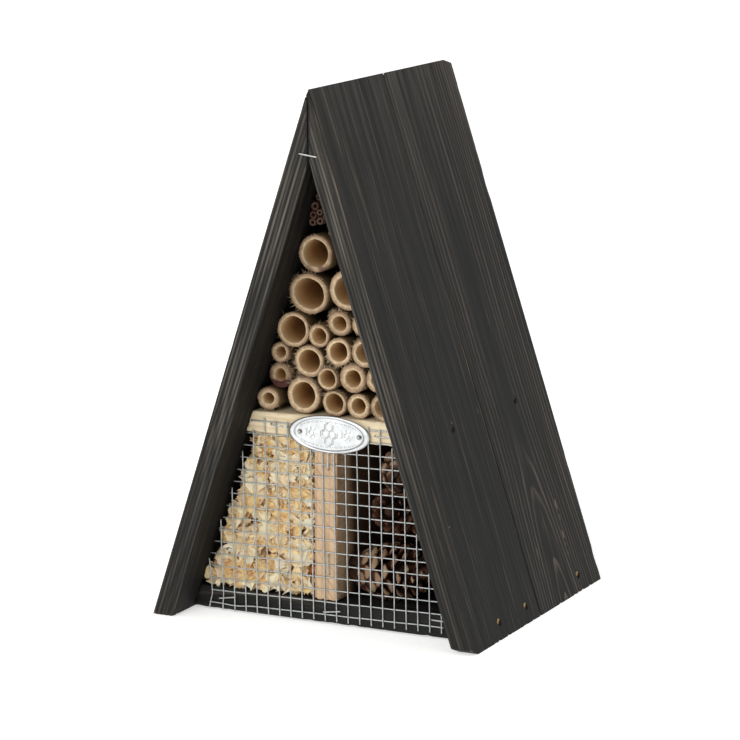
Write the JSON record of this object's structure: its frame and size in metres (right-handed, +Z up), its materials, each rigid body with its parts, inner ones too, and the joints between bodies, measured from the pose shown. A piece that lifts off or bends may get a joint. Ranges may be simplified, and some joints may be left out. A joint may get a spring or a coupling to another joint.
{
  "type": "insect hotel",
  "caption": "Steep triangular insect hotel of dark-stained boards, with bamboo canes in the loft above a shelf and wood shavings and pine cones behind a wire mesh below.",
  "frame": {"origin": "on the ground at the middle of the house's overall box", "axes": "+X to the right seen from the front, +Y to the back, +Z up to the ridge"},
  "size_m": [0.1766, 0.1626, 0.2685],
  "materials": {
    "stained_board": "charcoal-black stained softwood, matt",
    "stained_inside": "dark brown-black stained softwood, matt",
    "pale_pine": "planed untreated pine",
    "sawn_pine": "rough-sawn untreated pine",
    "bamboo": "dry bamboo, satin skin and fibrous cut ends",
    "reed": "dry reed stem",
    "shavings": "dry curled wood shavings",
    "pine_cone_scale": "dry woody scales",
    "galvanised_wire": "dull galvanised welded wire",
    "bright_steel": "bright zinc-plated steel",
    "brassy_steel": "yellow zinc-plated steel",
    "zinc_plate": "bright pressed zinc sheet"
  },
  "bodies": {
    "root": {"left_front_board": "stained_board", "left_rear_board": "stained_board", "right_front_board": "stained_board", "right_rear_board": "stained_board", "base_board": "stained_inside", "shelf_board": "pale_pine", "divider_board": "sawn_pine", "back_panel": "stained_inside", "base_nails": "brassy_steel", "shelf_nails": "brassy_steel", "divider_nails": "bright_steel", "back_brads": "bright_steel", "wire_mesh": "galvanised_wire", "ridge_staple": "bright_steel", "shelf_staples": "bright_steel", "base_staples": "bright_steel", "divider_staples": "bright_steel", "name_plate": "zinc_plate", "plate_nails": "bright_steel", "reed_bundle": "reed", "wood_shavings": "shavings", "cane_01": "bamboo", "cane_02": "bamboo", "cane_03": "bamboo", "cane_04": "bamboo", "cane_05": "bamboo", "cane_06": "bamboo", "cane_07": "bamboo", "cane_08": "bamboo", "cane_09": "bamboo", "cane_10": "bamboo", "cane_11": "bamboo", "cane_12": "bamboo", "cane_13": "bamboo", "cane_14": "bamboo", "cane_15": "bamboo", "cane_16": "bamboo", "cane_17": "bamboo", "cane_18": "bamboo", "cane_19": "bamboo", "cane_20": "bamboo", "cane_21": "bamboo", "pine_cone_1": "pine_cone_scale", "pine_cone_2": "pine_cone_scale", "pine_cone_3": "pine_cone_scale", "pine_cone_4": "pine_cone_scale", "pine_cone_5": "pine_cone_scale", "pine_cone_6": "pine_cone_scale", "pine_cone_7": "pine_cone_scale"}
  },
  "joints": []
}
